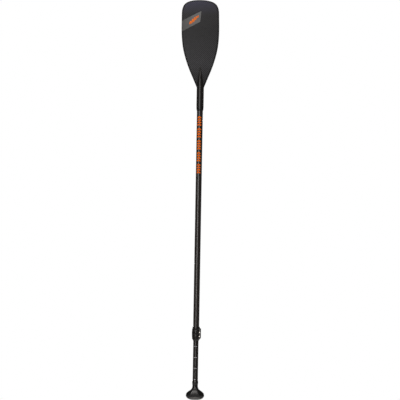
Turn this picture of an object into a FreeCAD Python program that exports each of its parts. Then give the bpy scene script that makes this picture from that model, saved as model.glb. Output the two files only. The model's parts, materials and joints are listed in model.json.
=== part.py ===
"""Adjustable single-blade paddle for stand-up paddling, in millimetres.

The straight shaft lies on the Z axis with the blade up and the palm grip down. The front, which is the
blade's back face, looks along -Y, and the blade's width and the grip's width lie along X. The origin is on
the shaft's axis, halfway along its bare length, where a hand or a rack clip holds it.

The blade is a foam core between two laminate skins with a tough rail round the edge, moulded to a hollow
neck that the shaft is bonded into. A handle tube slides and turns inside the shaft and carries the palm
grip. A split collar with a cam lever and two screws squeezes the slotted end of the shaft on the handle.
"""

import FreeCAD, Part
import math
import os

from FreeCAD import Vector

# Shaft and handle tubes
SHAFT_R = 15.0
SHAFT_BORE_R = 13.5
SHAFT_TOP_Z = 645.0
SHAFT_END_Z = -590.0
SHAFT_SLOT_LENGTH = 46.0
SHAFT_SLOT_WIDTH = 2.5
HANDLE_R = 13.2
HANDLE_BORE_R = 11.7
HANDLE_TOP_Z = -290.0
HANDLE_END_Z = -818.0
FLOAT_PLUG_Z = (430.0, 520.0)

# Neck of the blade: (radius, height) of its round socket, from the mouth up, then the ridge in the blade's
# frame: half width, half depth, s and tilt
NECK_SOCKET = (
    (15.4, 536.0),
    (16.7, 540.0),
    (17.6, 547.0),
    (18.0, 562.0),
    (18.0, 580.0),
    (18.0, 600.0),
    (18.0, 620.0),
    (18.0, 638.0),
)
NECK_RIDGE = (
    (17.3, 16.6, 8.0, 8.0),
    (14.4, 12.8, 30.0, 10.0),
    (10.6, 9.4, 55.0, 10.0),
    (6.6, 6.5, 80.0, 10.0),
    (3.0, 4.2, 102.0, 10.0),
)

# Blade, in its own frame: x across, n through (plus is the power face, behind), s up from the root
BLADE_ROOT_Z = 655.0
BLADE_LENGTH = 440.0
BLADE_RAKE_DEG = 10.0
BLADE_BOW = 7.0
HALF_OUTLINE = (  # half width and height s, from the root to the tip
    (16.8, -6.0),
    (33.6, 35.5),
    (54.6, 86.0),
    (72.2, 137.0),
    (85.3, 188.0),
    (92.1, 239.0),
    (94.4, 300.0),
    (93.6, 356.0),
    (89.9, 397.0),
    (79.2, 418.0),
    (52.0, 433.5),
    (0.0, BLADE_LENGTH),
)
EDGE_HALF_T = 1.8
ROOT_HALF_T = 6.2
TIP_HALF_T = 2.2
FORM_HALF_WIDTH = 95.0
SLAB_HALF_WIDTH = 100.0
SKIN_T = 0.9
RAIL_WIDTH = 6.0
RAIL_SAMPLES = 40

# Clamp collar
COLLAR_TOP_Z = -543.0
COLLAR_END_Z = -613.0
COLLAR_SPLIT = 2.5
MOUTH_BUSH_END_Z = -609.5
BUSH_CLEARANCE = 0.05
EAR_X = 24.0
EAR_Y = 9.0
EDGE_BREAK = 0.8
WEAR_PLATE_T = 0.8
WEAR_PLATE_X = (15.8, 23.4)

# Clamp screws, cross pin and cam lever
SCREW_X = 18.8
SCREW_ZS = (-572.5, -592.5)
SCREW_HOLE_R = 2.3
SCREW_END = 2.0
SEAT_R = 4.7
SEAT_GAP = 0.1
SCREW_R = 2.0
SCREW_HEAD_R = 3.5
SCREW_HEAD_H = 4.0
HEX_AF = 3.0
WASHER_R = 3.9
WASHER_T = 0.8
PIN_R = 3.0
PIN_Z = (-600.0, -558.0)
CAM_R = 5.0
CAM_DROP = 1.0
CAM_TURN_DEG = 120.0
CAM_CLEARANCE = 0.12
LEVER_INNER_R = 18.1
LEVER_OUTER_R = 20.6
LEVER_CROWN = 1.9
LEVER_CROWN_Z = -578.0
LEVER_Z = (-608.5, -550.0)
LEVER_HUB_Z = (-600.5, -557.5)
LEVER_TAIL_DEG = 200.0
LEVER_CORNER = 5.0
LOBE_GAP = 6.0
PIVOT_Y = EAR_Y + WEAR_PLATE_T + CAM_R + CAM_CLEARANCE

# Palm grip: height, half width and half depth of its outside
GRIP_SECTIONS = (
    (-833.0, 13.9, 13.9),
    (-838.0, 13.4, 13.4),
    (-845.0, 14.2, 13.7),
    (-852.5, 16.7, 14.8),
    (-858.0, 21.0, 16.6),
    (-864.0, 29.3, 18.3),
    (-872.0, 39.6, 19.5),
    (-880.0, 44.8, 19.9),
    (-889.0, 45.9, 19.3),
    (-897.5, 42.0, 17.2),
    (-903.5, 35.2, 13.8),
    (-907.5, 25.4, 9.6),
    (-909.8, 13.0, 4.8),
)
PAD_T = 2.5
PAD_TOP_Z = -894.5
PAD_SEAM_R = 98.0
GRIP_ROUNDNESS = 2.3
SPIGOT_TOP_Z = -775.0
FERRULE_Z = (-833.0, -813.0)
FERRULE_R = 15.0

# Guide bush on the inner end of the handle tube
FLANGE_T = 4.0
JOURNAL_R = 8.0
JOURNAL_LENGTH = 20.0
RETAINER_R = 11.0
RETAINER_SCREW_R = 1.7

UP = Vector(0, 0, 1)
AXIS = Vector(0, 0, 0)


def cylinder(radius, z_low, z_high, x=0.0, y=0.0):
    """Upright solid cylinder."""
    return Part.makeCylinder(radius, z_high - z_low, Vector(x, y, z_low), UP)


def tube(outer, inner, z_low, z_high):
    """Upright pipe on the shaft's axis."""
    return cylinder(outer, z_low, z_high).cut(cylinder(inner, z_low - 1, z_high + 1))


def box(x, y, z):
    """Box from three (low, high) pairs."""
    return Part.makeBox(x[1] - x[0], y[1] - y[0], z[1] - z[0], Vector(x[0], y[0], z[0]))


def rod_y(radius, y_low, y_high, x, z):
    """Solid cylinder along Y."""
    return Part.makeCylinder(radius, y_high - y_low, Vector(x, y_low, z), Vector(0, 1, 0))


def spline(points):
    """Smooth edge through points."""
    curve = Part.BSplineCurve()
    curve.interpolate(Points=points)
    return curve.toShape()


def prism(points, direction):
    """Straight-sided solid swept from a closed polygon."""
    return Part.Face(Part.makePolygon(points + points[:1])).extrude(direction)


def turned(radii_and_heights, bore):
    """Solid turned about the shaft's axis: a smooth outside through the points, and a straight bore."""
    outside = [Vector(r, 0, z) for r, z in radii_and_heights]
    top, end = outside[0], outside[-1]
    edges = [
        spline(outside),
        Part.makeLine(end, Vector(bore, 0, end.z)),
        Part.makeLine(Vector(bore, 0, end.z), Vector(bore, 0, top.z)),
        Part.makeLine(Vector(bore, 0, top.z), top),
    ]
    return Part.Face(Part.Wire(edges)).revolve(AXIS, UP, 360)


# ---------------------------------------------------------------- blade


def blade_middle(s):
    """Height n of the blade's middle surface, which bows to the front between root and tip."""
    u = s / BLADE_LENGTH
    return -4 * BLADE_BOW * u * (1 - u)


def blade_half_thickness(x, s):
    """Half thickness of the blade, crowned across its width and thinner towards the tip."""
    middle = ROOT_HALF_T + (TIP_HALF_T - ROOT_HALF_T) * s / BLADE_LENGTH
    return EDGE_HALF_T + (middle - EDGE_HALF_T) * (1 - (x / FORM_HALF_WIDTH) ** 2)


def blade_slab(inset_front, inset_back, only=None):
    """Solid between the two blade faces, set in from each by a thickness, wider and longer than the blade.

    only="front" or "back" keeps just the layer of skin thickness on that face."""

    def face_height(x, s, side, inset):
        return blade_middle(s) + side * (blade_half_thickness(x, s) - inset)

    low_side, low_inset = (1, SKIN_T) if only == "back" else (-1, inset_front)
    high_side, high_inset = (-1, SKIN_T) if only == "front" else (1, inset_back)
    across = [SLAB_HALF_WIDTH * k / 3 for k in range(-3, 4)]
    sections = []
    for s in [-12, 50, 120, 190, 260, 330, 400, BLADE_LENGTH + 9]:
        low = [Vector(x, face_height(x, s, low_side, low_inset), s) for x in across]
        high = [Vector(x, face_height(x, s, high_side, high_inset), s) for x in across]
        sections.append(
            Part.Wire(
                [
                    spline(low),
                    Part.makeLine(low[-1], high[-1]),
                    spline(high[::-1]),
                    Part.makeLine(high[0], low[0]),
                ]
            )
        )
    return Part.makeLoft(sections, True, False)


def outline_edge():
    """The blade's outline from the right of the root over the tip to the left, as one smooth edge."""
    right = [Vector(x, 0, s) for x, s in HALF_OUTLINE]
    left = [Vector(-x, 0, s) for x, s in HALF_OUTLINE[-2::-1]]
    return spline(right + left)


def inner_outline_edge():
    """The outline moved in by the rail's width."""
    edge = outline_edge()
    first, last = edge.ParameterRange
    points = []
    for k in range(RAIL_SAMPLES + 1):
        t = first + (last - first) * k / RAIL_SAMPLES
        tangent = edge.tangentAt(t)
        inward = Vector(-tangent.z, 0, tangent.x)
        points.append(edge.valueAt(t) + inward * RAIL_WIDTH)
    for end in (points[0], points[-1]):
        end.z = HALF_OUTLINE[0][1]
    return spline(points)


def outline_prism(edge):
    """Everything inside an outline, through the blade's thickness."""
    first, last = edge.valueAt(edge.FirstParameter), edge.valueAt(edge.LastParameter)
    face = Part.Face(Part.Wire([edge, Part.makeLine(last, first)]))
    face.translate(Vector(0, -50, 0))
    return face.extrude(Vector(0, 100, 0))


def raked(shape):
    """Moves a shape from the blade's frame to the paddle's: leant to the front about the root."""
    placed = shape.copy()
    placed.rotate(AXIS, Vector(1, 0, 0), BLADE_RAKE_DEG)
    placed.translate(Vector(0, 0, BLADE_ROOT_Z))
    return placed


def oval(half_width, half_depth, roundness, count):
    """Closed smooth edge round a superellipse in the XY plane; a roundness of 2 is an ellipse."""
    power = 2 / roundness
    points = []
    for k in range(count):
        a = 2 * math.pi * k / count
        c, s = math.cos(a), math.sin(a)
        x = half_width * math.copysign(abs(c) ** power, c)
        y = half_depth * math.copysign(abs(s) ** power, s)
        points.append(Vector(x, y, 0))
    curve = Part.BSplineCurve()
    curve.interpolate(Points=points, PeriodicFlag=True)
    return curve.toShape()


def neck_outside():
    """Outside of the neck: a round socket that runs out as a ridge under both faces of the blade."""
    sections = []
    for radius, z in NECK_SOCKET:
        ring = oval(radius, radius, 2, 16)
        ring.translate(Vector(0, 0, z))
        sections.append(Part.Wire(ring))
    for half_width, half_depth, s, tilt in NECK_RIDGE:
        ring = oval(half_width, half_depth, 2, 16)
        ring.rotate(AXIS, Vector(1, 0, 0), tilt - BLADE_RAKE_DEG)
        ring.translate(Vector(0, blade_middle(s), s))
        sections.append(Part.Wire(raked(ring)))
    return Part.makeLoft(sections, True, False)


def blade_parts(outside_of_neck):
    """Core, skins and edge rail of the blade, each cut away where the neck passes through."""
    field = outline_prism(inner_outline_edge())
    rim = outline_prism(outline_edge()).cut(field)
    shapes = {
        "blade_core": blade_slab(SKIN_T, SKIN_T).common(field),
        "blade_front_skin": blade_slab(0, 0, "front").common(field),
        "blade_back_skin": blade_slab(0, 0, "back").common(field),
        "blade_edge_rail": blade_slab(0, 0).common(rim),
    }
    return {name: raked(shape).cut(outside_of_neck) for name, shape in shapes.items()}


def blade_neck(outside):
    """Moulded neck with the bored socket that takes the shaft."""
    mouth_z = NECK_SOCKET[0][1]
    return outside.cut(cylinder(SHAFT_R, mouth_z - 1, SHAFT_TOP_Z))


# ---------------------------------------------------------------- shaft


def shaft_tube():
    """Main tube, slotted at its lower end so that the collar can squeeze it."""
    slot = box(
        (0, SHAFT_R + 1),
        (-SHAFT_SLOT_WIDTH / 2, SHAFT_SLOT_WIDTH / 2),
        (SHAFT_END_Z - 1, SHAFT_END_Z + SHAFT_SLOT_LENGTH),
    )
    return tube(SHAFT_R, SHAFT_BORE_R, SHAFT_END_Z, SHAFT_TOP_Z).cut(slot)


def float_plug():
    """Foam plug that keeps water out of the upper shaft."""
    return cylinder(SHAFT_BORE_R, *FLOAT_PLUG_Z)


# ---------------------------------------------------------------- clamp


def collar_body():
    """Ring of the collar: an upper band, a middle band and a lower band with grooves between."""
    upper = [(17.0, COLLAR_TOP_Z), (17.4, -545.0), (17.7, -551.0), (17.5, -557.0), (16.9, -560.5)]
    middle = [(16.9, -560.5), (17.5, -563.0), (17.8, -571.5), (17.5, -580.0), (16.9, -583.0)]
    lower = [(16.9, -583.0), (17.5, -585.5), (17.6, -593.0), (16.9, -603.0), (14.9, COLLAR_END_Z)]
    bands = [turned(band, 0.0) for band in (upper, middle, lower)]
    return bands[0].fuse(bands[1:]).removeSplitter()


def collar_ears():
    """Block of the two ears in front view, before the split."""
    corners = [
        (8, -544.4),
        (15.6, -544.4),
        (EAR_X, -553.2),
        (EAR_X, -599.7),
        (16.2, -608.6),
        (14.0, -612.4),
        (8, -612.4),
    ]
    block = prism([Vector(x, -EAR_Y, z) for x, z in corners], Vector(0, 2 * EAR_Y, 0))
    upright = [
        e
        for e in block.Edges
        if abs(e.CenterOfMass.x - EAR_X) < 0.1 and e.Length > 40
    ]
    block = block.makeFillet(2.5, upright)
    rims = [
        e
        for e in block.Edges
        if abs(abs(e.CenterOfMass.y) - EAR_Y) < 0.01 and 12 < e.CenterOfMass.x < EAR_X - 3
    ]
    return block.makeChamfer(EDGE_BREAK, rims)


def clamp_collar():
    """Split collar with two ears, bored for the shaft, the mouth bush and, at its lip, the handle tube."""
    split = box(
        (0, EAR_X + 5),
        (-COLLAR_SPLIT / 2, COLLAR_SPLIT / 2),
        (COLLAR_END_Z - 1, COLLAR_TOP_Z + 1),
    )
    body = collar_body().fuse(collar_ears())
    body = body.cut(cylinder(SHAFT_R, MOUTH_BUSH_END_Z, COLLAR_TOP_Z + 1))
    body = body.cut(cylinder(HANDLE_R + 0.4, COLLAR_END_Z - 1, MOUTH_BUSH_END_Z + 1))
    body = body.cut(split)
    for z in SCREW_ZS:
        body = body.cut(rod_y(SCREW_HOLE_R, -EAR_Y - 1, EAR_Y + 1, SCREW_X, z))
        body = body.cut(rod_y(SEAT_R, -SHAFT_R * 2, -EAR_Y, SCREW_X, z))
    return body


def mouth_bush():
    """Split nylon bush that grips the handle tube just below the end of the shaft."""
    bush = tube(SHAFT_R, HANDLE_R + BUSH_CLEARANCE, MOUTH_BUSH_END_Z, SHAFT_END_Z)
    half = SHAFT_SLOT_WIDTH / 2
    return bush.cut(box((0, SHAFT_R + 1), (-half, half), (MOUTH_BUSH_END_Z - 1, SHAFT_END_Z + 1)))


def cam_wear_plate():
    """Thin steel plate on the back ear that the cam slides on."""
    plate = box(WEAR_PLATE_X, (EAR_Y, EAR_Y + WEAR_PLATE_T), (PIN_Z[0] + 1, PIN_Z[1] - 1))
    upright = [e for e in plate.Edges if abs(e.Length - WEAR_PLATE_T) < 0.01]
    plate = plate.makeFillet(2.0, upright)
    for z in SCREW_ZS:
        plate = plate.cut(rod_y(SCREW_HOLE_R, EAR_Y - 1, EAR_Y + 2, SCREW_X, z))
    return plate


def clamp_screw(z):
    """Socket-head screw along Y, from the front ear into the cross pin."""
    seat_y = -EAR_Y - SEAT_GAP - WASHER_T
    head = rod_y(SCREW_HEAD_R, seat_y - SCREW_HEAD_H, seat_y, SCREW_X, z)
    rim = [e for e in head.Edges if abs(e.CenterOfMass.y - (seat_y - SCREW_HEAD_H)) < 0.01]
    head = head.makeChamfer(0.5, rim)
    corner_r = HEX_AF / math.sqrt(3)
    hexagon = [
        Vector(
            SCREW_X + corner_r * math.cos(math.radians(60 * k)),
            seat_y - SCREW_HEAD_H - 1,
            z + corner_r * math.sin(math.radians(60 * k)),
        )
        for k in range(6)
    ]
    socket = prism(hexagon, Vector(0, 1 + SCREW_HEAD_H * 0.6, 0))
    shank = rod_y(SCREW_R, seat_y, PIVOT_Y + SCREW_END, SCREW_X, z)
    return head.cut(socket).fuse(shank)


def clamp_screws():
    return Part.makeCompound([clamp_screw(z) for z in SCREW_ZS])


def screw_washers():
    """A flat washer under each screw head."""
    rings = []
    face_y = -EAR_Y - SEAT_GAP
    for z in SCREW_ZS:
        disc = rod_y(WASHER_R, face_y - WASHER_T, face_y, SCREW_X, z)
        rings.append(disc.cut(rod_y(SCREW_R, face_y - WASHER_T - 1, face_y + 1, SCREW_X, z)))
    return Part.makeCompound(rings)


def cross_pin():
    """Upright barrel that the screws thread into and the lever turns on."""
    pin = cylinder(PIN_R, *PIN_Z, SCREW_X, PIVOT_Y)
    for z in SCREW_ZS:
        pin = pin.cut(rod_y(SCREW_R, 0, PIVOT_Y + SCREW_END, SCREW_X, z))
    return pin


def polar(radius, degrees, z=0.0, x=0.0, y=0.0):
    """Point at an angle about an upright axis."""
    a = math.radians(degrees)
    return Vector(x + radius * math.cos(a), y + radius * math.sin(a), z)


def cam_lobe(z_low, z_high):
    """Cam whose radius falls steadily, from the side that bears when closed to the side that bears when open."""

    def radius(turn):
        if turn <= CAM_TURN_DEG:
            return CAM_R - CAM_DROP * turn / CAM_TURN_DEG
        if turn <= 240:
            return CAM_R - CAM_DROP * (240 - turn) / (240 - CAM_TURN_DEG)
        return CAM_R

    step = 10
    points = [
        polar(radius(t), 270 + t, z_low, SCREW_X, PIVOT_Y) for t in range(0, 360, step)
    ]
    return prism(points, Vector(0, 0, z_high - z_low))


def lever_plate():
    """Curved plate of the lever, wrapped round the back of the collar to its left side."""
    z_low, z_high = LEVER_Z
    outer = [polar(LEVER_OUTER_R, a, z_low) for a in (93, 146, LEVER_TAIL_DEG)]
    inner = [polar(LEVER_INNER_R, a, z_low) for a in (LEVER_TAIL_DEG, 135, 72)]
    hub_top = Vector(SCREW_X, PIVOT_Y + CAM_R - 0.2, z_low)
    hub = Vector(SCREW_X, PIVOT_Y, z_low)
    hub_left = Vector(SCREW_X - CAM_R + 0.4, PIVOT_Y, z_low)
    edges = [
        Part.makeLine(hub_top, outer[0]),
        Part.Arc(*outer).toShape(),
        Part.makeLine(outer[-1], inner[0]),
        Part.Arc(*inner).toShape(),
        Part.makeLine(inner[-1], hub_left),
        Part.makeLine(hub_left, hub),
        Part.makeLine(hub, hub_top),
    ]
    return Part.Face(Part.Wire(edges)).extrude(Vector(0, 0, z_high - z_low))


def lever_crown():
    """Barrel that the lever's outside follows round the left, carried on straight to the right."""
    half_height = 31.0
    profile = [
        Vector(0, LEVER_OUTER_R - LEVER_CROWN * share**2, LEVER_CROWN_Z + half_height * share)
        for share in (-1.0, -0.75, -0.5, -0.25, 0.0, 0.25, 0.5, 0.75, 1.0)
    ]
    low, high = profile[0], profile[-1]
    edges = [
        spline(profile),
        Part.makeLine(high, Vector(0, 0, high.z)),
        Part.makeLine(Vector(0, 0, high.z), Vector(0, 0, low.z)),
        Part.makeLine(Vector(0, 0, low.z), low),
    ]
    section = Part.Face(Part.Wire(edges))
    barrel = section.revolve(AXIS, UP, 180)
    straight = section.extrude(Vector(30, 0, 0))
    return barrel.fuse(straight)


def clamp_lever():
    """Cam lever: a crowned plate with three lobes that leave room for the screws between them."""
    low_gap, high_gap = min(SCREW_ZS), max(SCREW_ZS)
    half = LOBE_GAP / 2
    lobes = [
        cam_lobe(LEVER_HUB_Z[0], low_gap - half),
        cam_lobe(low_gap + half, high_gap - half),
        cam_lobe(high_gap + half, LEVER_HUB_Z[1]),
    ]
    low, high = LEVER_Z
    hub_low, hub_high = LEVER_HUB_Z
    front_view = [
        (-30, low + LEVER_CORNER + 9),
        (-LEVER_OUTER_R, low + LEVER_CORNER),
        (-LEVER_OUTER_R + LEVER_CORNER, low),
        (4, low),
        (15, hub_low),
        (30, hub_low),
        (30, hub_high),
        (15, hub_high),
        (4, high),
        (-LEVER_OUTER_R + LEVER_CORNER, high),
        (-LEVER_OUTER_R, high - LEVER_CORNER),
        (-30, high - LEVER_CORNER - 9),
    ]
    window = prism([Vector(x, -30, z) for x, z in front_view], Vector(0, 60, 0))
    plate = lever_plate().common(window).common(lever_crown())
    lever = plate.fuse(lobes)
    bore = cylinder(PIN_R + BUSH_CLEARANCE, LEVER_Z[0] - 1, LEVER_Z[1] + 1, SCREW_X, PIVOT_Y)
    return lever.cut(bore)


# ---------------------------------------------------------------- handle


def handle_tube():
    return tube(HANDLE_R, HANDLE_BORE_R, HANDLE_END_Z, HANDLE_TOP_Z)


def handle_end_plug():
    """Plug in the inner end of the handle tube, with a journal that the guide bush turns on."""
    stem = cylinder(HANDLE_BORE_R, HANDLE_TOP_Z - 22, HANDLE_TOP_Z)
    flange = cylinder(HANDLE_R, HANDLE_TOP_Z, HANDLE_TOP_Z + FLANGE_T)
    journal_top = HANDLE_TOP_Z + FLANGE_T + JOURNAL_LENGTH
    journal = cylinder(JOURNAL_R, HANDLE_TOP_Z + FLANGE_T, journal_top)
    pilot = cylinder(RETAINER_SCREW_R, journal_top - 16, journal_top + 1)
    return stem.fuse([flange, journal]).removeSplitter().cut(pilot)


def guide_bush():
    """Nylon ring that centres the handle tube in the shaft: it slides with the tube, which turns in it."""
    low = HANDLE_TOP_Z + FLANGE_T + 0.3
    high = HANDLE_TOP_Z + FLANGE_T + JOURNAL_LENGTH - 0.3
    return tube(SHAFT_BORE_R - BUSH_CLEARANCE, JOURNAL_R + BUSH_CLEARANCE, low, high)


def bush_retainer():
    """Screw with a wide washer face that keeps the guide bush on its journal."""
    base = HANDLE_TOP_Z + FLANGE_T + JOURNAL_LENGTH
    washer = cylinder(RETAINER_R, base, base + 1.2)
    head = cylinder(4.0, base + 1.2, base + 3.6)
    shank = cylinder(RETAINER_SCREW_R, base - 16, base)
    slot = box((-5, 5), (-0.5, 0.5), (base + 2.6, base + 4))
    return shank.fuse([washer, head]).removeSplitter().cut(slot)


def grip_solid(inset):
    """Loft of the palm grip, set in from its outside and raised as much at its palm end."""
    sections = []
    palm_end_z = GRIP_SECTIONS[-1][0]
    for z, half_width, half_depth in GRIP_SECTIONS:
        ring = oval(half_width - inset, half_depth - inset, GRIP_ROUNDNESS, 24)
        depth_share = max(0.0, (PAD_TOP_Z - z) / (PAD_TOP_Z - palm_end_z))
        ring.translate(Vector(0, 0, z + inset * depth_share))
        sections.append(Part.Wire(ring))
    return Part.makeLoft(sections, True, False)


def palm_grip_parts():
    """Rigid body with a spigot into the handle tube, and the soft pad moulded over its palm end."""
    outside = grip_solid(0.0)
    seam_centre = Vector(0, -60, PAD_TOP_Z - PAD_SEAM_R)
    palm_end = Part.makeCylinder(PAD_SEAM_R, 120, seam_centre, Vector(0, 1, 0))
    pad = outside.common(palm_end).cut(grip_solid(PAD_T))
    spigot = cylinder(HANDLE_BORE_R, HANDLE_END_Z, SPIGOT_TOP_Z)
    shoulder = cylinder(HANDLE_R, GRIP_SECTIONS[0][0], HANDLE_END_Z)
    return {"palm_grip_body": outside.cut(pad).fuse([spigot, shoulder]), "palm_pad": pad}


def grip_ferrule():
    """Ring that covers the joint between the handle tube and the palm grip."""
    low, high = FERRULE_Z
    outside = [
        (HANDLE_R + 0.6, high),
        (14.4, high - 4),
        (FERRULE_R, high - 9),
        (14.7, high - 14),
        (GRIP_SECTIONS[0][1], low),
    ]
    return turned(outside, HANDLE_R)


def main():
    os.makedirs("parts", exist_ok=True)
    outside = neck_outside()
    parts = {
        "blade_neck": blade_neck(outside),
        **blade_parts(outside),
        "shaft_tube": shaft_tube(),
        "shaft_float_plug": float_plug(),
        "clamp_collar": clamp_collar(),
        "mouth_bush": mouth_bush(),
        "cam_wear_plate": cam_wear_plate(),
        "clamp_screws": clamp_screws(),
        "screw_washers": screw_washers(),
        "cross_pin": cross_pin(),
        "clamp_lever": clamp_lever(),
        "handle_tube": handle_tube(),
        "handle_end_plug": handle_end_plug(),
        "guide_bush": guide_bush(),
        "bush_retainer": bush_retainer(),
        **palm_grip_parts(),
        "grip_ferrule": grip_ferrule(),
    }
    for name, shape in parts.items():
        solids = shape.Solids
        print(
            f"{name}: {len(solids)} solid(s), valid {shape.isValid()}, "
            f"{sum(s.Volume for s in solids) / 1000:.2f} cm3"
        )
        kept = solids[0] if len(solids) == 1 else Part.makeCompound(solids)
        kept.exportStep(f"parts/{name}.step")


main()
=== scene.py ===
"""Looks of the adjustable single-blade paddle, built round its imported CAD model.

Lengths are millimetres in the CAD part's frame, and points are scaled to metres where they become mesh
points. Materials, lights, floor and camera work in metres. The front of the paddle looks along -Y, the
blade is up and the palm grip down.
"""

import json
import math

import bmesh
import bpy
import numpy as np
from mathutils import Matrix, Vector


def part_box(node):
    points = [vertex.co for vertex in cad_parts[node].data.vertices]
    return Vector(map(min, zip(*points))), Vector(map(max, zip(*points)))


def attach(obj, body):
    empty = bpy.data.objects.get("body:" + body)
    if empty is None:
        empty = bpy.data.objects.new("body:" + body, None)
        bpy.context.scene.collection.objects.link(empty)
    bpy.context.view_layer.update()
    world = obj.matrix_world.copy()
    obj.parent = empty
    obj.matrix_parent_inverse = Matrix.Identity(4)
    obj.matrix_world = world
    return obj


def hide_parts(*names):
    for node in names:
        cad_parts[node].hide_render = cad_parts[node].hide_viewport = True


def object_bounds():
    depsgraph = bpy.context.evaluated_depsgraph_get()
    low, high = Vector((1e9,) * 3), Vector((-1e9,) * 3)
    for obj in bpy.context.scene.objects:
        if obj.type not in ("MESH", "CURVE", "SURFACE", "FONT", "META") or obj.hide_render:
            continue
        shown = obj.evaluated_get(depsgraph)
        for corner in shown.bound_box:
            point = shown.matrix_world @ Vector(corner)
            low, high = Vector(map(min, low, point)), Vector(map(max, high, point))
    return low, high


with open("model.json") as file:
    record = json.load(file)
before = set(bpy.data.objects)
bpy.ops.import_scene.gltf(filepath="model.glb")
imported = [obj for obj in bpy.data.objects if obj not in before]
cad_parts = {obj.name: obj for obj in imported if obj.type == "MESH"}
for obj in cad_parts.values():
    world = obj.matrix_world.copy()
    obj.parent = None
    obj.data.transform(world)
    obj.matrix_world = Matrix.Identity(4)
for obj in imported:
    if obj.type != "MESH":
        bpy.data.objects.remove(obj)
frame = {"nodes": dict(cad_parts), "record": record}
cad_low, cad_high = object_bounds()

MM = 0.001

# Blade, as in the CAD part: x across, n through (plus is behind), s up from the root. The outline goes up
# the right side in (x, s), and its first RISING_POINTS points only widen.
BLADE_ROOT_Z = 655.0
BLADE_LENGTH = 440.0
BLADE_RAKE = math.radians(10.0)
BLADE_BOW = 7.0
HALF_OUTLINE = (
    (16.8, -6.0),
    (33.6, 35.5),
    (54.6, 86.0),
    (72.2, 137.0),
    (85.3, 188.0),
    (92.1, 239.0),
    (94.4, 300.0),
    (93.6, 356.0),
    (89.9, 397.0),
    (79.2, 418.0),
    (52.0, 433.5),
    (0.0, BLADE_LENGTH),
)
RISING_POINTS = 7
EDGE_HALF_T = 1.8
ROOT_HALF_T = 6.2
TIP_HALF_T = 2.2
FORM_HALF_WIDTH = 95.0
SKIN_T = 0.9

# Rail round the blade's edge, and the seam between it and the skins
RAIL_WIDTH = 6.0
RAIL_ROUNDING = 1.3
SEAM_DEPTH = 0.3
SEAM_WIDTH = 0.6

# Neck: radius and height of the socket's sections
NECK_SOCKET = (
    (15.4, 536.0),
    (16.7, 540.0),
    (17.6, 547.0),
    (18.0, 562.0),
    (18.0, 600.0),
    (18.0, 638.0),
)
# Neck: half width, half depth, height s on the blade and tilt in degrees of the ridge's sections
NECK_RIDGE = (
    (17.3, 16.6, 8.0, 8.0),
    (14.4, 12.8, 30.0, 10.0),
    (10.6, 9.4, 55.0, 10.0),
    (6.6, 6.5, 80.0, 10.0),
    (3.0, 4.2, 102.0, 10.0),
    (1.2, 1.5, 118.0, 10.0),
)
# Neck: how far its brim reaches past the ridge, the height over which they blend, the least room left to
# the blade's edge, and how far the brim dips into the skin
NECK_FILLET = 7.0
FILLET_BLEND = 4.0
FILLET_MARGIN = 3.0
SUNK = 0.12

# Palm grip: height, half width, half depth and half width of the flat of its sections
GRIP_SECTIONS = (
    (-833.0, 13.9, 13.9, 0.0),
    (-838.0, 13.4, 13.4, 0.0),
    (-845.0, 14.2, 13.7, 1.5),
    (-852.5, 16.7, 14.8, 5.0),
    (-858.0, 21.0, 16.6, 8.5),
    (-864.0, 29.3, 18.3, 12.0),
    (-872.0, 39.6, 19.5, 15.0),
    (-880.0, 44.8, 19.9, 19.0),
    (-889.0, 45.9, 19.3, 24.0),
    (-897.5, 42.0, 17.2, 22.0),
    (-903.5, 35.2, 13.8, 17.0),
    (-907.5, 25.4, 9.6, 10.0),
    (-909.8, 13.0, 4.8, 3.0),
)
# Palm grip: exponents of its faces' curve beside a flat and on an oval section, the height of the pad's
# seam in the middle, and how much lower it runs at the sides
FACET_BEND = 1.35
OVAL_BEND = 2.0
PAD_TOP_Z = -894.5
PAD_DROP = 9.0

SHAFT_R = 15.0
HANDLE_R = 13.2
HANDLE_TRAVEL_OUT = 200.0

# Clamp screws
HEAD_R = 3.2
HEAD_H = 3.1
DOME_H = 0.9
SHANK_R = 2.0
SOCKET_HALF_FLATS = 1.2
SCREW_POINTS = 48

# Prints: how far the panel and the emblem on it lie above the blade, and how thick the ink is
PANEL_LIFT = 0.08
EMBLEM_LIFT = 0.16
PANEL_INK_T = 0.06
STROKE_INK_T = 0.05
MARK_INK_T = 0.03


# ---------------------------------------------------------------- curves and meshes


def eased(knots, rows, places):
    """Rows of values read smoothly between knots, never beyond the rows on either side."""
    knots, rows, places = np.array(knots), np.array(rows), np.array(places)
    gaps = np.diff(knots)[:, None]
    rise = np.diff(rows, axis=0) / gaps
    slopes = np.zeros_like(rows)
    product = rise[1:] * rise[:-1]
    total = rise[1:] + rise[:-1]
    safe = np.where(product > 0, total, 1.0)
    slopes[1:-1] = np.where(product > 0, 2 * product / safe, 0.0)
    slopes[0], slopes[-1] = rise[0], rise[-1]
    i = np.clip(np.searchsorted(knots, places) - 1, 0, len(knots) - 2)
    gap = gaps[i]
    t = ((places - knots[i])[:, None]) / gap
    start = (1 + 2 * t) * (1 - t) ** 2 * rows[i] + t * (1 - t) ** 2 * gap * slopes[i]
    return start + t * t * (3 - 2 * t) * rows[i + 1] + t * t * (t - 1) * gap * slopes[i + 1]


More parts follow.
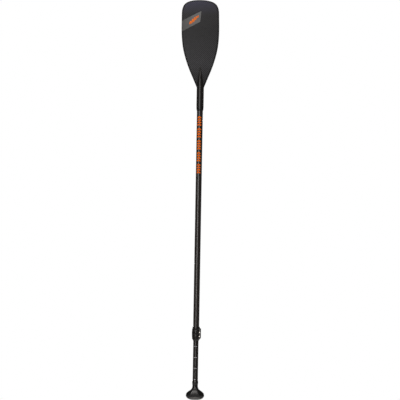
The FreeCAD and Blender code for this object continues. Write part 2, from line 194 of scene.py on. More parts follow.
def natural_spline(points, count):
    """Points spaced along the natural cubic spline through the given ones."""
    points = np.array(points, float)
    knots = np.concatenate([[0], np.cumsum(np.linalg.norm(np.diff(points, axis=0), axis=1))])
    gaps = np.diff(knots)
    last = len(points) - 1
    system = np.eye(last + 1)
    right = np.zeros_like(points)
    for i in range(1, last):
        system[i, i - 1 : i + 2] = gaps[i - 1], 2 * (gaps[i - 1] + gaps[i]), gaps[i]
        before = (points[i] - points[i - 1]) / gaps[i - 1]
        right[i] = 6 * ((points[i + 1] - points[i]) / gaps[i] - before)
    bend = np.linalg.solve(system, right)
    places = np.linspace(0, knots[-1], count)
    i = np.clip(np.searchsorted(knots, places) - 1, 0, last - 1)
    h = gaps[i][:, None]
    a = (knots[i + 1] - places)[:, None] / h
    b = 1 - a
    curve = a * points[i] + b * points[i + 1]
    return curve + ((a**3 - a) * bend[i] + (b**3 - b) * bend[i + 1]) * h * h / 6


def mesh_piece(name, points, faces, finish):
    """Smooth-shaded object from points in millimetres, with coinciding points merged."""
    mesh = bpy.data.meshes.new(name)
    mesh.from_pydata((np.array(points).reshape(-1, 3) * MM).tolist(), [], faces)
    edited = bmesh.new()
    edited.from_mesh(mesh)
    bmesh.ops.remove_doubles(edited, verts=edited.verts, dist=0.002 * MM)
    bmesh.ops.recalc_face_normals(edited, faces=edited.faces)
    edited.to_mesh(mesh)
    edited.free()
    mesh.shade_smooth()
    mesh.materials.append(finish)
    piece = bpy.data.objects.new(name, mesh)
    bpy.context.scene.collection.objects.link(piece)
    return piece


def grid_faces(rows, columns, closed=False):
    """Quads of a grid of points, row after row; closed joins each row's ends."""
    faces = []
    for r in range(rows - 1):
        for c in range(columns if closed else columns - 1):
            across = (c + 1) % columns
            a, b = r * columns + c, r * columns + across
            faces.append((a, b, b + columns, a + columns))
    return faces


def loft_faces(rows, columns):
    """Faces of a closed solid through rings of points, with flat ends."""
    faces = grid_faces(rows, columns, closed=True)
    return [*faces, tuple(range(columns)), tuple(range((rows - 1) * columns, rows * columns))]


def loft(name, rings, finish):
    """Closed solid through rings of points."""
    rings = np.array(rings)
    return mesh_piece(name, rings, loft_faces(*rings.shape[:2]), finish)


def layer(piece, thickness):
    """Gives an open surface a thickness to the inside."""
    solid = piece.modifiers.new("thickness", "SOLIDIFY")
    solid.thickness = thickness * MM
    solid.offset = -1.0


def ring_angles(count):
    """Angles of a ring's points, evenly spaced."""
    return np.linspace(0, 2 * math.pi, count, endpoint=False)


# ---------------------------------------------------------------- materials


def shade(red, green, blue):
    """Linear colour from an sRGB one in steps of 255."""
    channels = []
    for value in (red, green, blue):
        v = value / 255
        channels.append(v / 12.92 if v <= 0.04045 else ((v + 0.055) / 1.055) ** 2.4)
    return (*channels, 1.0)


class Finish:
    """A procedural material: colour, roughness and bump come from nodes in the object's coordinates."""

    def __init__(self, name, specular=0.5, metallic=0.0, coat=0.0, coat_roughness=0.3):
        self.material = bpy.data.materials.new(name)
        self.material.use_nodes = True
        self.tree = self.material.node_tree
        self.shader = self.tree.nodes["Principled BSDF"]
        self.shader.inputs["Specular IOR Level"].default_value = specular
        self.shader.inputs["Metallic"].default_value = metallic
        self.shader.inputs["Coat Weight"].default_value = coat
        self.shader.inputs["Coat Roughness"].default_value = coat_roughness
        self.place = self.tree.nodes.new("ShaderNodeTexCoord").outputs["Object"]

    def node(self, kind, inputs=(), **settings):
        """New node with its settings, whose inputs are given as pairs of a name or index and a value."""
        made = self.tree.nodes.new(kind)
        for name, value in settings.items():
            setattr(made, name, value)
        for key, value in inputs:
            if isinstance(value, bpy.types.NodeSocket):
                self.tree.links.new(value, made.inputs[key])
            else:
                made.inputs[key].default_value = value
        return made

    def math(self, operation, a, b=0.0):
        """Result of an operation on one or two values."""
        return self.node("ShaderNodeMath", [(0, a), (1, b)], operation=operation).outputs[0]

    def along(self):
        """The x, y and z coordinates."""
        return self.node("ShaderNodeSeparateXYZ", [(0, self.place)]).outputs

    def noise(self, scale, detail, stretch=(1, 1, 1)):
        """Noise with features of about 1/scale metres, drawn out along axes by a stretch below one."""
        mapping = self.node("ShaderNodeMapping", [("Vector", self.place), ("Scale", stretch)])
        inputs = [("Vector", mapping.outputs[0]), ("Scale", scale), ("Detail", detail)]
        return self.node("ShaderNodeTexNoise", inputs).outputs[0]

    def spread(self, value, low, high, start=0.0, end=1.0):
        """Value carried from start..end to low..high."""
        inputs = [(0, value), (1, start), (2, end), (3, low), (4, high)]
        return self.node("ShaderNodeMapRange", inputs).outputs[0]

    def mixed(self, factor, first, second):
        """Colour between the first and the second."""
        inputs = [(0, factor), (6, first), (7, second)]
        return self.node("ShaderNodeMix", inputs, data_type="RGBA").outputs[2]

    def done(self, colour, roughness, height, depth):
        """Plugs colour, roughness and a bump of the given depth in metres into the shader."""
        inputs = [("Height", height), ("Strength", 1.0), ("Distance", depth)]
        bump = self.node("ShaderNodeBump", inputs)
        self.tree.links.new(colour, self.shader.inputs["Base Color"])
        self.tree.links.new(roughness, self.shader.inputs["Roughness"])
        self.tree.links.new(bump.outputs[0], self.shader.inputs["Normal"])
        return self.material


def laminate():
    """Woven laminate under a satin resin: a two-by-two twill whose diagonals fall to the right.

    Painted light makes it paler low on the blade and gives the tip a painted bluish sheen, more so on the
    left.
    """
    tow = 0.0025
    finish = Finish("blade_laminate", specular=0.25)
    x, _, z = finish.along()
    across, up = finish.math("DIVIDE", x, tow), finish.math("DIVIDE", z, tow)
    cell = finish.math("ADD", finish.math("FLOOR", across), finish.math("FLOOR", up))
    step = finish.math("FRACT", finish.math("MULTIPLY", cell, 0.25))
    over = finish.math("LESS_THAN", step, 0.5)
    crown_x = finish.math("ABSOLUTE", finish.math("SINE", finish.math("MULTIPLY", across, math.pi)))
    crown_z = finish.math("ABSOLUTE", finish.math("SINE", finish.math("MULTIPLY", up, math.pi)))
    difference = finish.math("SUBTRACT", crown_x, crown_z)
    crown = finish.math("ADD", crown_z, finish.math("MULTIPLY", difference, over))
    cloud = finish.noise(scale=9.0, detail=2.0)
    fibre = finish.noise(scale=900.0, detail=2.0, stretch=(1, 1, 0.15))
    tone = finish.math("ADD", finish.math("MULTIPLY", over, 0.7), finish.math("MULTIPLY", cloud, 0.15))
    tone = finish.math("ADD", tone, finish.math("MULTIPLY", fibre, 0.15))
    # Painted pool of light: the tone is raised low on the blade and fades darker towards the tip
    painted_light_rise = finish.spread(z, 0.5, 1.0, 0.68, 0.755)
    painted_light_fall_to_tip = finish.spread(z, 1.0, 0.4, 0.78, 0.93)
    painted_light_pool = finish.math("MULTIPLY", painted_light_rise, painted_light_fall_to_tip)
    tone = finish.math("MULTIPLY", tone, finish.math("MAXIMUM", painted_light_pool, 0.4))
    colour = finish.mixed(tone, shade(5, 5, 6), shade(73, 73, 76))
    # Painted bluish sheen at the tip, stronger on the left
    painted_sheen_at_tip = finish.spread(z, 0.0, 0.55, 1.015, 1.08)
    painted_sheen_to_left = finish.spread(x, 1.0, 0.5, -0.09, 0.09)
    colour = finish.mixed(finish.math("MULTIPLY", painted_sheen_at_tip, painted_sheen_to_left), colour, shade(66, 65, 92))
    roughness = finish.spread(over, 0.55, 0.43)
    return finish.done(colour, roughness, crown, depth=0.00003)


def moulded(name, dark, light, roughness, grain, depth, specular):
    """Moulded plastic or rubber: a fine grain, cloudy colour and uneven sheen."""
    finish = Finish(name, specular=specular)
    cloud = finish.noise(scale=14.0, detail=3.0)
    pores = finish.noise(scale=grain, detail=4.0)
    tone = finish.math("ADD", finish.math("MULTIPLY", cloud, 0.6), finish.math("MULTIPLY", pores, 0.4))
    colour = finish.mixed(finish.spread(tone, 0.0, 1.0, 0.3, 0.7), shade(*dark), shade(*light))
    return finish.done(colour, finish.spread(tone, *roughness, 0.3, 0.7), pores, depth)


def wound_tube(name, dark, light, roughness, coat, coat_roughness):
    """Wound and wrapped tube: faint crossing helices, lengthwise streaks and a satin clear coat."""
    turns, pitch = 6.0, 0.012
    finish = Finish(name, specular=0.4, coat=coat, coat_roughness=coat_roughness)
    x, y, z = finish.along()
    angle = finish.math("MULTIPLY", finish.math("ARCTAN2", y, x), turns)
    climb = finish.math("MULTIPLY", z, 2 * math.pi / pitch)
    right = finish.math("SINE", finish.math("ADD", climb, angle))
    left = finish.math("SINE", finish.math("SUBTRACT", climb, angle))
    winding = finish.math("MAXIMUM", right, left)
    streak = finish.noise(scale=500.0, detail=3.0, stretch=(1, 1, 0.04))
    cloud = finish.noise(scale=11.0, detail=2.0)
    tone = finish.math("ADD", finish.math("MULTIPLY", winding, 0.2), finish.math("MULTIPLY", streak, 0.25))
    tone = finish.math("ADD", tone, finish.math("MULTIPLY", cloud, 0.12))
    colour = finish.mixed(tone, shade(*dark), shade(*light))
    return finish.done(colour, finish.spread(tone, *roughness), winding, depth=0.000006)


def turned_steel():
    """Turned stainless steel with fine rings of tool marks and slightly uneven roughness."""
    finish = Finish("stainless", metallic=1.0)
    marks = finish.noise(scale=1500.0, detail=4.0, stretch=(1, 0.2, 1))
    cloud = finish.noise(scale=120.0, detail=3.0)
    colour = finish.mixed(finish.math("MULTIPLY", cloud, marks), shade(255, 250, 240), shade(214, 209, 200))
    return finish.done(colour, finish.spread(marks, 0.34, 0.48), marks, depth=0.00001)


def closed_foam():
    """Closed-cell foam: small round cells on a pale ground."""
    finish = Finish("foam", specular=0.2)
    inputs = [("Vector", finish.place), ("Scale", 700.0)]
    cells = finish.node("ShaderNodeTexVoronoi", inputs).outputs["Distance"]
    cloud = finish.noise(scale=20.0, detail=2.0)
    colour = finish.mixed(finish.math("MULTIPLY", cells, cloud), shade(212, 208, 196), shade(170, 164, 150))
    return finish.done(colour, finish.spread(cells, 0.95, 0.8), cells, depth=0.0002)


def ink(name, full, worn, painted_left_shade=None):
    """Printed ink: a film slightly thin in places, with an orange-peel surface, and optionally painted
    shade that darkens it towards the left.
    """
    finish = Finish(name, specular=0.12)
    film = finish.noise(scale=60.0, detail=5.0)
    peel = finish.noise(scale=700.0, detail=2.0)
    tone = finish.spread(film, 0.0, 1.0, 0.45, 0.85)
    colour = finish.mixed(tone, shade(*full), shade(*worn))
    # Painted shade: the colour darkens towards the left, from x -0.03 to -0.094 m
    if painted_left_shade:
        across = finish.spread(finish.along()[0], 0.0, 1.0, -0.094, -0.03)
        colour = finish.mixed(across, shade(*painted_left_shade), colour)
    return finish.done(colour, finish.spread(film, 0.38, 0.5), peel, depth=0.00002)


# Moulded finishes: dark and light colour, roughness, grain, grain's depth and specular level
MOULDED = {
    "rail_black": ((9, 9, 10), (17, 17, 18), (0.5, 0.38), 1600.0, 0.00003, 0.3),
    "moulded_black": ((13, 11, 10), (28, 26, 24), (0.42, 0.32), 1400.0, 0.00003, 0.4),
    "nylon_black": ((9, 7, 6), (19, 16, 14), (0.36, 0.26), 2200.0, 0.00004, 0.5),
    "nylon_grey": ((96, 97, 98), (122, 122, 122), (0.6, 0.5), 1800.0, 0.00004, 0.35),
    "grip_plastic": ((8, 8, 8), (18, 17, 17), (0.34, 0.24), 2000.0, 0.00003, 0.42),
    "grip_rubber": ((80, 79, 78), (102, 101, 99), (0.8, 0.62), 1500.0, 0.00012, 0.35),
}
FINISHES = {
    "blade_laminate": laminate(),
    "foam": closed_foam(),
    "shaft_black": wound_tube("shaft_black", (20, 16, 13), (46, 38, 33), (0.36, 0.28), 0.7, 0.35),
    "handle_black": wound_tube("handle_black", (12, 8, 6), (30, 23, 19), (0.34, 0.26), 0.6, 0.26),
    "stainless": turned_steel(),
    **{name: moulded(name, *look) for name, look in MOULDED.items()},
}
# The panel's third colour is painted shade, darker towards its left edge
PANEL_GREY = ink("panel_grey", (108, 108, 107), (99, 99, 98), (83, 83, 82))
EMBLEM_ORANGE = ink("emblem_orange", (255, 122, 0), (236, 108, 0))
SHAFT_ORANGE = ink("shaft_orange", (246, 112, 0), (216, 90, 0))
MARK_WHITE = ink("mark_white", (184, 184, 190), (146, 146, 152))


def finish_cad_nodes():
    """Gives every carried-over CAD node the finish of its slot in the record."""
    for part in frame["record"]["subparts"]:
        node = frame["nodes"][part["node"]]
        node.data.materials.clear()
        node.data.materials.append(FINISHES[part["material_slot"]])


# ---------------------------------------------------------------- blade


def blade_middle(s):
    """Where the blade's bowed middle lies at height s, as n."""
    u = s / BLADE_LENGTH
    return -4 * BLADE_BOW * u * (1 - u)


def blade_half_thickness(x, s):
    """Half thickness of the blade, thickest on its middle line and at its root."""
    middle = ROOT_HALF_T + (TIP_HALF_T - ROOT_HALF_T) * s / BLADE_LENGTH
    return EDGE_HALF_T + (middle - EDGE_HALF_T) * (1 - (x / FORM_HALF_WIDTH) ** 2)


def blade_points(x, n, s):
    """Points of the blade's frame carried to the paddle's frame, still in millimetres."""
    cosine, sine = math.cos(BLADE_RAKE), math.sin(BLADE_RAKE)
    x, n, s = np.broadcast_arrays(x, n, s)
    return np.stack([x, n * cosine - s * sine, BLADE_ROOT_Z + n * sine + s * cosine], axis=-1)


def blade_outline(count):
    """Points (x, s) from the right of the root over the tip to the left, and their inward directions."""
    left = [(-x, s) for x, s in HALF_OUTLINE[-2::-1]]
    points = natural_spline(list(HALF_OUTLINE) + left, count)
    along = np.gradient(points, axis=0)
    inward = np.stack([-along[:, 1], along[:, 0]], axis=1)
    return points, inward / np.linalg.norm(inward, axis=1)[:, None]


def edge_round(distance, half_thickness):
    """Height of the rail's surface at a distance in from the outline, as a rounded edge."""
    reach = np.minimum(RAIL_ROUNDING * half_thickness, RAIL_WIDTH - SEAM_WIDTH)
    inside = np.clip(distance / reach, 0, 1)
    return half_thickness * np.sqrt(1 - (1 - inside) ** 2)


def blade_skin(name, side, node):
    """Laminate skin on one face, inside the rail, with a small seam round its border.

    Its rings run from the border to a spine on the middle line. The outer ones keep an even distance from
    the border where the blade is wide.
    """
    spine_below_tip, even_width, wide_from = 75.0, 12.0, 60.0
    outline, inward = blade_outline(241)
    border = outline + inward * RAIL_WIDTH
    border[:, 1] = np.maximum(border[:, 1], HALF_OUTLINE[0][1])
    spine_s = np.minimum(border[:, 1], BLADE_LENGTH - spine_below_tip)
    spine = np.stack([np.zeros_like(spine_s), spine_s], axis=1)
    reach = np.linalg.norm(spine - border, axis=1)
    even = [distance / np.maximum(reach, wide_from) for distance in np.linspace(SEAM_WIDTH, even_width, 6)]
    inner = [np.full_like(reach, share) for share in np.linspace(0.3, 1.0, 15)]
    rings = []
    for share in [np.zeros_like(reach), *even, *inner]:
        flat = border + (spine - border) * share[:, None]
        x, s = flat[:, 0], flat[:, 1]
        height = blade_half_thickness(x, s) - (0 if rings else SEAM_DEPTH)
        rings.append(blade_points(x, blade_middle(s) + side * height, s))
    faces = grid_faces(len(rings), len(outline))
    piece = mesh_piece(name, rings, faces, FINISHES["blade_laminate"])
    if (piece.data.polygons[0].normal.y > 0) != (side > 0):
        piece.data.flip_normals()
    layer(piece, SKIN_T)
    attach(piece, "shaft")
    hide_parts(node)


def blade_rail():
    """Rail round the edge, half round outside and with a small seam where the skins meet it."""
    outline, inward = blade_outline(301)
    distances = (0, 0.15, 0.5, 1.0, 1.6, 2.3, 3.2, 4.2, RAIL_WIDTH - SEAM_WIDTH, RAIL_WIDTH)
    profile = [(distance, -1) for distance in distances[::-1]]
    profile += [(distance, 1) for distance in distances[1:]]
    loops = []
    for distance, side in profile:
        flat = outline + inward * distance
        flat[:, 1] = np.maximum(flat[:, 1], HALF_OUTLINE[0][1])
        x, s = flat[:, 0], flat[:, 1]
        height = edge_round(distance, blade_half_thickness(x, s))
        if distance == RAIL_WIDTH:
            height = height - SEAM_DEPTH
        loops.append(blade_points(x, blade_middle(s) + side * height, s))
    rings = np.swapaxes(np.array(loops), 0, 1)
    piece = loft("blade_rail", rings, FINISHES["rail_black"])
    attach(piece, "shaft")
    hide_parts("blade_edge_rail")


def half_width_at(s):
    """Half width of the lower blade's outline at height s."""
    x, heights = zip(*HALF_OUTLINE[:RISING_POINTS])
    return float(np.interp(s, heights, x))


def neck_stations():
    """Sections of the neck: centre y and z, tilt, half width, half depth, height s and blade share."""
    rows = [(0.0, z, 0.0, r, r, z - BLADE_ROOT_Z, 0.0) for r, z in NECK_SOCKET]
    for half_width, half_depth, s, tilt in NECK_RIDGE:
        _, y, z = blade_points(0.0, blade_middle(s), s)
        rows.append((y, z, tilt, half_width, half_depth, s, 1.0))
    knots = np.array([row[1] for row in rows])
    mouth_top, rest_from = 560.0, 566.0
    close = np.linspace(knots[0], mouth_top, 14)
    wide = np.linspace(rest_from, knots[-1], 64)
    return eased(knots, np.array(rows), np.concatenate([close, wide]))


def neck():
    """Round socket for the shaft that runs out on both faces of the blade as a filleted ridge."""
    steps = 40
    sweep = -np.cos(np.linspace(0, math.pi, steps + 1))
    brim_dip = np.zeros(steps + 1)
    brim_dip[[0, -1]] = SUNK
    rings = []
    for y, z, tilt, half_width, half_depth, s, on_blade in neck_stations():
        brim = half_width
        if on_blade > 0:
            room = half_width_at(s) - FILLET_MARGIN
            brim = max(half_width, min(half_width + NECK_FILLET, room))
        x = sweep * brim
        ridge = half_depth * np.sqrt(np.clip(1 - (x / half_width) ** 2, 0, None))
        blade = (blade_half_thickness(x, s) - SUNK) * on_blade
        soft = np.clip(FILLET_BLEND * on_blade - np.abs(ridge - blade), 0, None)
        height = np.maximum(ridge, blade)
        if on_blade > 0:
            height = height + soft**2 / (4 * FILLET_BLEND * on_blade)
            height = height - brim_dip * on_blade
        flat_x = np.concatenate([x, x[::-1]])
        flat_n = np.concatenate([-height, height[::-1]])
        cosine, sine = math.cos(math.radians(tilt)), math.sin(math.radians(tilt))
        rings.append(np.stack([flat_x, y + flat_n * cosine, z + flat_n * sine], axis=1))
    piece = loft("neck", rings, FINISHES["moulded_black"])
    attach(piece, "shaft")
    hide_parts("blade_neck")


# ---------------------------------------------------------------- prints


def left_outline():
    """Left half of the blade's outline, from the root up."""
    outline, _ = blade_outline(241)
    return outline[outline[:, 0] < 0][::-1]


def on_front_face(x, s, lift):
    """Points lifted off the blade's front face, following the rail round the edge."""
    left = left_outline()
    edge = -np.interp(s, left[:, 1], left[:, 0])
    height = edge_round(np.clip(edge - np.abs(x), 0, None), blade_half_thickness(x, s)) + lift
    return blade_points(x, blade_middle(s) - height, s)


def grey_panel():
    """Slanted grey panel printed from the left edge of the blade, round the rail, to its middle.

    Its rows rise from the left edge to the right end, which leans. Their points lie closer together round
    the rail.
    """
    right_x, right_lean, right_low, right_high = -0.5, 5.5, 331.0, 385.5
    slope_low, slope_high = 0.55, 0.525
    width, edge_gap = 92.0, 0.05
    rows, columns = 24, 60
    left = left_outline()
    round_rail = [0, 0.001, 0.003, 0.006, 0.01, 0.015, 0.022, 0.03, 0.04, 0.052, 0.065]
    shares = np.array([*round_rail, *np.linspace(0.08, 1.0, columns - len(round_rail))])
    points = []
    for row in np.linspace(0, 1, rows):
        start_s = right_low + (right_high - right_low) * row
        slope = slope_low + (slope_high - slope_low) * row
        edge_x = np.interp(start_s - slope * width, left[:, 1], left[:, 0]) + edge_gap
        right_end = right_x + right_lean * row
        x = edge_x + (right_end - edge_x) * shares
        s = start_s + slope * (x - right_end)
        points.append(on_front_face(x, s, PANEL_LIFT))
    piece = mesh_piece("blade_panel", points, grid_faces(rows, columns), PANEL_GREY)
    if piece.data.polygons[len(piece.data.polygons) // 2].normal.y > 0:
        piece.data.flip_normals()
    layer(piece, PANEL_INK_T)
    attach(piece, "shaft")


def stroke(length, width):
    """Flat stroke with rounded ends about the origin, as rows of (u, v)."""
    along, across, narrowest = 20, 4, 0.02
    u = np.sin(np.linspace(-1, 1, along + 1) * math.pi / 2) * length / 2
    room = np.clip((length / 2 - np.abs(u)) / (width / 2), 0, 1)
    half = width / 2 * np.maximum(np.sqrt(1 - (1 - room) ** 2), narrowest)
    rows = [np.stack([u, half * share], axis=1) for share in np.linspace(-1, 1, across + 1)]
    return np.array(rows)


def turned_flat(points, degrees, centre):
    """Flat points turned about the origin and moved to a centre."""
    cosine, sine = math.cos(math.radians(degrees)), math.sin(math.radians(degrees))
    u = points[..., 0] * cosine - points[..., 1] * sine + centre[0]
    v = points[..., 0] * sine + points[..., 1] * cosine + centre[1]
    return u, v


def printed(name, patches, surface, finish, thickness):
    """One thin printed piece of several patches, laid on a surface."""
    points, faces, start = [], [], 0
    for patch in patches:
        rows, columns = patch[0].shape
        points.append(surface(*patch).reshape(-1, 3))
        faces += [tuple(start + i for i in face) for face in grid_faces(rows, columns)]
        start += rows * columns
    piece = mesh_piece(name, np.concatenate(points), faces, finish)
    if sum(face.normal.y * face.area for face in piece.data.polygons) > 0:
        piece.data.flip_normals()
    layer(piece, thickness)
    return piece


def emblem():
    """Row of slanted orange strokes rising across the grey panel."""
    first, last = np.array([-51.0, 326.0]), np.array([-11.5, 357.0])
    lengths, width, slant_deg = (18.0, 25.0, 26.0, 20.0, 12.0), 6.0, 74.0
    patches = []
    for k, length in enumerate(lengths):
        centre = first + (last - first) * k / (len(lengths) - 1)
        patches.append(turned_flat(stroke(length, width), slant_deg, centre))

    def on_panel(x, s):
        return on_front_face(x, s, EMBLEM_LIFT)

    piece = printed("blade_emblem", patches, on_panel, EMBLEM_ORANGE, STROKE_INK_T)
    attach(piece, "shaft")


def round_tube(radius, centre_deg):
    """Surface that wraps flat arc lengths and heights round a tube, centred on an angle from the front."""

    def surface(arc, height):
        angle = arc / radius + math.radians(centre_deg)
        return np.stack([radius * np.sin(angle), -radius * np.cos(angle), height], axis=-1)

    return surface


def shaft_print():
    """Groups of orange chevron strokes down the front of the shaft."""
    top, group_pitch, groups = 503.5, 59.5, 5
    pitch, per_group = 12.5, 4
    length, width, slant_deg, half_spread = 13.0, 7.0, 35.0, 4.1
    lift, centre_deg = 0.09, -5.0
    patches = []
    for k in range(groups * per_group):
        z = top - k // per_group * group_pitch - k % per_group * pitch
        for side in (-1, 1):
            flat = stroke(length, width)
            patches.append(turned_flat(flat, -side * slant_deg, (side * half_spread, z)))
    surface = round_tube(SHAFT_R + lift, centre_deg)
    piece = printed("shaft_strokes", patches, surface, SHAFT_ORANGE, STROKE_INK_T)
    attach(piece, "shaft")


def handle_marks():
    """Short printed lines that show how far the handle is drawn out, by height, length and width."""
    lines = ((-642.5, 19.0, 2.0), (-697.5, 19.0, 2.0), (-752.5, 19.0, 1.7), (-807.5, 9.0, 3.2))
    lift, centre_deg = 0.04, -6.0
    patches = [turned_flat(stroke(length, width), 0.0, (0.0, z)) for z, length, width in lines]
    surface = round_tube(HANDLE_R + lift, centre_deg)
    piece = printed("handle_marks", patches, surface, MARK_WHITE, MARK_INK_T)
    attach(piece, "handle")


# ---------------------------------------------------------------- clamp


def screw_ring(radius, w):
    """Ring round the w axis as (u, v, w), whose radius may differ from point to point."""
    angles = ring_angles(SCREW_POINTS)
    return np.stack([radius * np.cos(angles), radius * np.sin(angles), np.full(SCREW_POINTS, w)], axis=1)


def hexagon(half_flats):
    """Radius of a hexagon at each point of a ring."""
    from_flat = (ring_angles(SCREW_POINTS) + math.pi / 6) % (math.pi / 3) - math.pi / 6
    return half_flats / np.cos(from_flat)


def screw_rings(shank_length):
    """Rings of one domed socket-head screw, from the end of its shank to the bottom of its socket.

    w runs along the screw, zero under its head and plus towards the end of its shank.
    """
    head_chamfer, dome_power = 0.25, 1.2
    rim_deg, mouth_deg, dome_steps = 80.25, 31.5, 5
    mouth_lip, socket_depth, socket_taper = 0.02, 2.0, 0.97
    profile = [(SHANK_R, shank_length), (SHANK_R, 0.0), (HEAD_R - head_chamfer, 0.0)]
    profile += [(HEAD_R, -head_chamfer), (HEAD_R, -HEAD_H)]
    for turn in np.radians(np.linspace(rim_deg, mouth_deg, dome_steps + 1)):
        profile.append((HEAD_R * math.sin(turn), -HEAD_H - DOME_H * math.cos(turn) ** dome_power))
    mouth = profile.pop()[1] - mouth_lip
    profile.append((hexagon(SOCKET_HALF_FLATS), mouth))
    profile.append((hexagon(SOCKET_HALF_FLATS * socket_taper), mouth + socket_depth))
    return np.array([screw_ring(radius, w) for radius, w in profile])


def clamp_screws():
    """Domed socket-head screws through the ears, threaded into the cross pin behind."""
    node_low, node_high = (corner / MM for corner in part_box("clamp_screws"))
    axis_x = (node_low.x + node_high.x) / 2
    seat = node_low.y + HEAD_H + DOME_H
    cad_head_r = (node_high.x - node_low.x) / 2
    rings = screw_rings(node_high.y - seat)
    rows, columns = rings.shape[:2]
    points, faces = [], []
    for z in (node_low.z + cad_head_r, node_high.z - cad_head_r):
        start = len(points) * rows * columns
        points.append(np.stack([axis_x + rings[..., 0], seat + rings[..., 2], z + rings[..., 1]], axis=-1))
        faces += [tuple(start + i for i in face) for face in loft_faces(rows, columns)]
    piece = mesh_piece("clamp_screw_pair", points, faces, FINISHES["stainless"])
    piece.data.set_sharp_from_angle(angle=math.radians(40))
    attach(piece, "cross_pin")
    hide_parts("clamp_screws")


# ---------------------------------------------------------------- palm grip


def grip_ring(z, inset):
    """Ring of the grip with a height for each of its points; both faces are flat in the middle."""
    knots = np.array([-row[0] for row in GRIP_SECTIONS])
    _, half_width, half_depth, flat = eased(knots, np.array(GRIP_SECTIONS), -z).T
    half_width, half_depth = half_width - inset, half_depth - inset
    angles = ring_angles(len(z))
    x = half_width * np.cos(angles)
    share = np.clip((np.abs(x) - flat) / (half_width - flat), 0, 1)
    bend = FACET_BEND + (OVAL_BEND - FACET_BEND) * np.exp(-flat / 2)
    y = half_depth * np.sign(np.sin(angles)) * np.sqrt(1 - share**bend)
    return np.stack([x, y, z], axis=1)


def palm_grip():
    """Rigid body of the grip and the softer pad over its palm end, whose seam runs lower at the sides."""
    half_seam, half_gap, seam_depth = 0.5, 0.05, 0.45
    top, bottom = GRIP_SECTIONS[0][0], GRIP_SECTIONS[-1][0]
    seam = PAD_TOP_Z - PAD_DROP * np.cos(ring_angles(96)) ** 2
    body_rings = [grip_ring(heights, 0.0) for heights in np.linspace(top, seam + half_seam, 60)]
    body_rings.append(grip_ring(seam + half_gap, seam_depth))
    pad_rings = [grip_ring(seam - half_gap, seam_depth)]
    pad_rings += [grip_ring(heights, 0.0) for heights in np.linspace(seam - half_seam, bottom, 22)]
    body = loft("grip_body", body_rings, FINISHES["grip_plastic"])
    pad = loft("grip_pad", pad_rings, FINISHES["grip_rubber"])
    pieces = ((body, "palm_grip_body", "grip_plastic"), (pad, "palm_pad", "grip_rubber"))
    for piece, node, slot in pieces:
        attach(piece, "handle")
        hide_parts(node)


# ---------------------------------------------------------------- studio


def studio_world():
    """White surroundings for the camera, and a dim warm light from all round for everything else."""
    world = bpy.data.worlds.new("studio")
    world.use_nodes = True
    nodes, links = world.node_tree.nodes, world.node_tree.links
    seen = nodes["Background"]
    seen.inputs["Color"].default_value = (1, 1, 1, 1)
    glow = nodes.new("ShaderNodeBackground")
    glow.inputs["Color"].default_value = (1.0, 0.95, 0.91, 1)
    glow.inputs["Strength"].default_value = 0.12
    ray = nodes.new("ShaderNodeLightPath")
    mix = nodes.new("ShaderNodeMixShader")
    links.new(ray.outputs["Is Camera Ray"], mix.inputs[0])
    links.new(glow.outputs[0], mix.inputs[1])
    links.new(seen.outputs[0], mix.inputs[2])
    links.new(mix.outputs[0], nodes["World Output"].inputs["Surface"])
    bpy.context.scene.world = world


# Soft lights: place, aim, width, height, watts and colour
LIGHTS = {
    "key": ((-0.95, -4.5, 0.5), (0, 0, 0.1), 0.8, 2.0, 72, (1.0, 0.97, 0.94)),
    "tip": ((-0.5, -1.1, 1.9), (0, -0.07, 1.0), 0.5, 0.5, 1.8, (0.62, 0.66, 1.0)),
    "overhead": ((0.1, -1.7, 3.3), (0, 0, 0.0), 1.6, 1.6, 60, (1.0, 0.97, 0.94)),
    "behind": ((0.3, 3.0, 3.4), (0, 0, 0.1), 2.0, 2.0, 80, (1.0, 1.0, 1.0)),
    "back_fill": ((-0.37, 4.5, 0.5), (0, 0, 0.1), 0.8, 2.0, 70, (1.0, 1.0, 1.0)),
}


def softbox(name, place, aim, width, height, power, colour):
    """Rectangular soft light at a place, turned to an aim."""
    light = bpy.data.lights.new(name, "AREA")
    light.shape = "RECTANGLE"
    light.size, light.size_y = width, height
    light.energy = power
    light.color = colour
    lamp = bpy.data.objects.new(name, light)
    lamp.location = place
    lamp.visible_camera = False
    lamp.rotation_euler = (Vector(aim) - Vector(place)).to_track_quat("-Z", "Y").to_euler()
    bpy.context.scene.collection.objects.link(lamp)


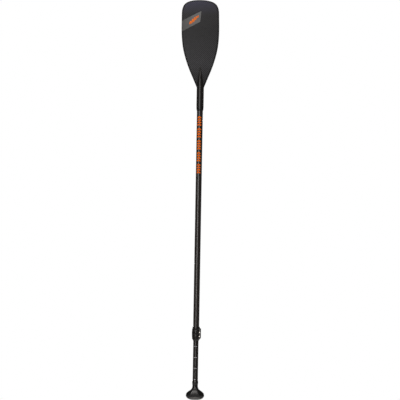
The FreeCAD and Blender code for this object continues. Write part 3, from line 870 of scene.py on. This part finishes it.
def studio_floor():
    """Pale round floor, low enough for the handle to be drawn right out above it."""
    radius, count, clearance, brightness = 1.6, 96, 0.005, 0.65
    floor_z = cad_low.z - HANDLE_TRAVEL_OUT * MM - clearance
    mesh = bpy.data.meshes.new("floor")
    rim = [(radius * math.cos(a), radius * math.sin(a), floor_z) for a in ring_angles(count)]
    mesh.from_pydata(rim, [], [tuple(range(count))])
    floor = bpy.data.objects.new("floor", mesh)
    finish = Finish("floor", specular=0.0)
    grain = finish.noise(scale=40.0, detail=3.0)
    colour = finish.mixed(grain, (0.93, 0.93, 0.93, 1), (0.96, 0.96, 0.96, 1))
    mesh.materials.append(finish.done(colour, finish.spread(grain, 0.8, 0.95), grain, depth=0.0001))
    finish.shader.inputs["Emission Color"].default_value = (1, 1, 1, 1)
    seen = finish.node("ShaderNodeLightPath").outputs["Is Camera Ray"]
    strength = finish.math("MULTIPLY", seen, brightness)
    finish.tree.links.new(strength, finish.shader.inputs["Emission Strength"])
    bpy.context.scene.collection.objects.link(floor)


def camera():
    """Long lens from a little to the right of the front, with the shaft leaning a degree to the right."""
    azimuth, roll = math.radians(4.7), math.radians(1.0)
    distance, view_height = 40.0, 2.0
    centre_z, centre_right = 0.09, 0.0082
    back = Vector((math.sin(azimuth), -math.cos(azimuth), 0))
    level = Vector((math.cos(azimuth), math.sin(azimuth), 0))
    up = Vector((0, 0, 1)) * math.cos(roll) - level * math.sin(roll)
    right = up.cross(back)
    target = Vector((0, 0, centre_z)) + right * centre_right
    data = bpy.data.cameras.new("camera")
    data.sensor_width = 36.0
    data.clip_end = 2 * distance
    data.lens = data.sensor_width * distance / view_height
    eye = bpy.data.objects.new("camera", data)
    matrix = eye.matrix_world
    for k, axis in enumerate((right, up, back, target + back * distance)):
        matrix[0][k], matrix[1][k], matrix[2][k] = axis
    eye.matrix_world = matrix
    bpy.context.scene.collection.objects.link(eye)
    bpy.context.scene.camera = eye


def studio():
    """World, lights, floor and camera."""
    studio_world()
    for name, light in LIGHTS.items():
        softbox(name, *light)
    studio_floor()
    camera()
    bpy.context.scene.view_settings.view_transform = "Standard"


finish_cad_nodes()
blade_skin("blade_skin_front", -1, "blade_front_skin")
blade_skin("blade_skin_back", 1, "blade_back_skin")
blade_rail()
neck()
grey_panel()
emblem()
shaft_print()
handle_marks()
clamp_screws()
palm_grip()
studio()
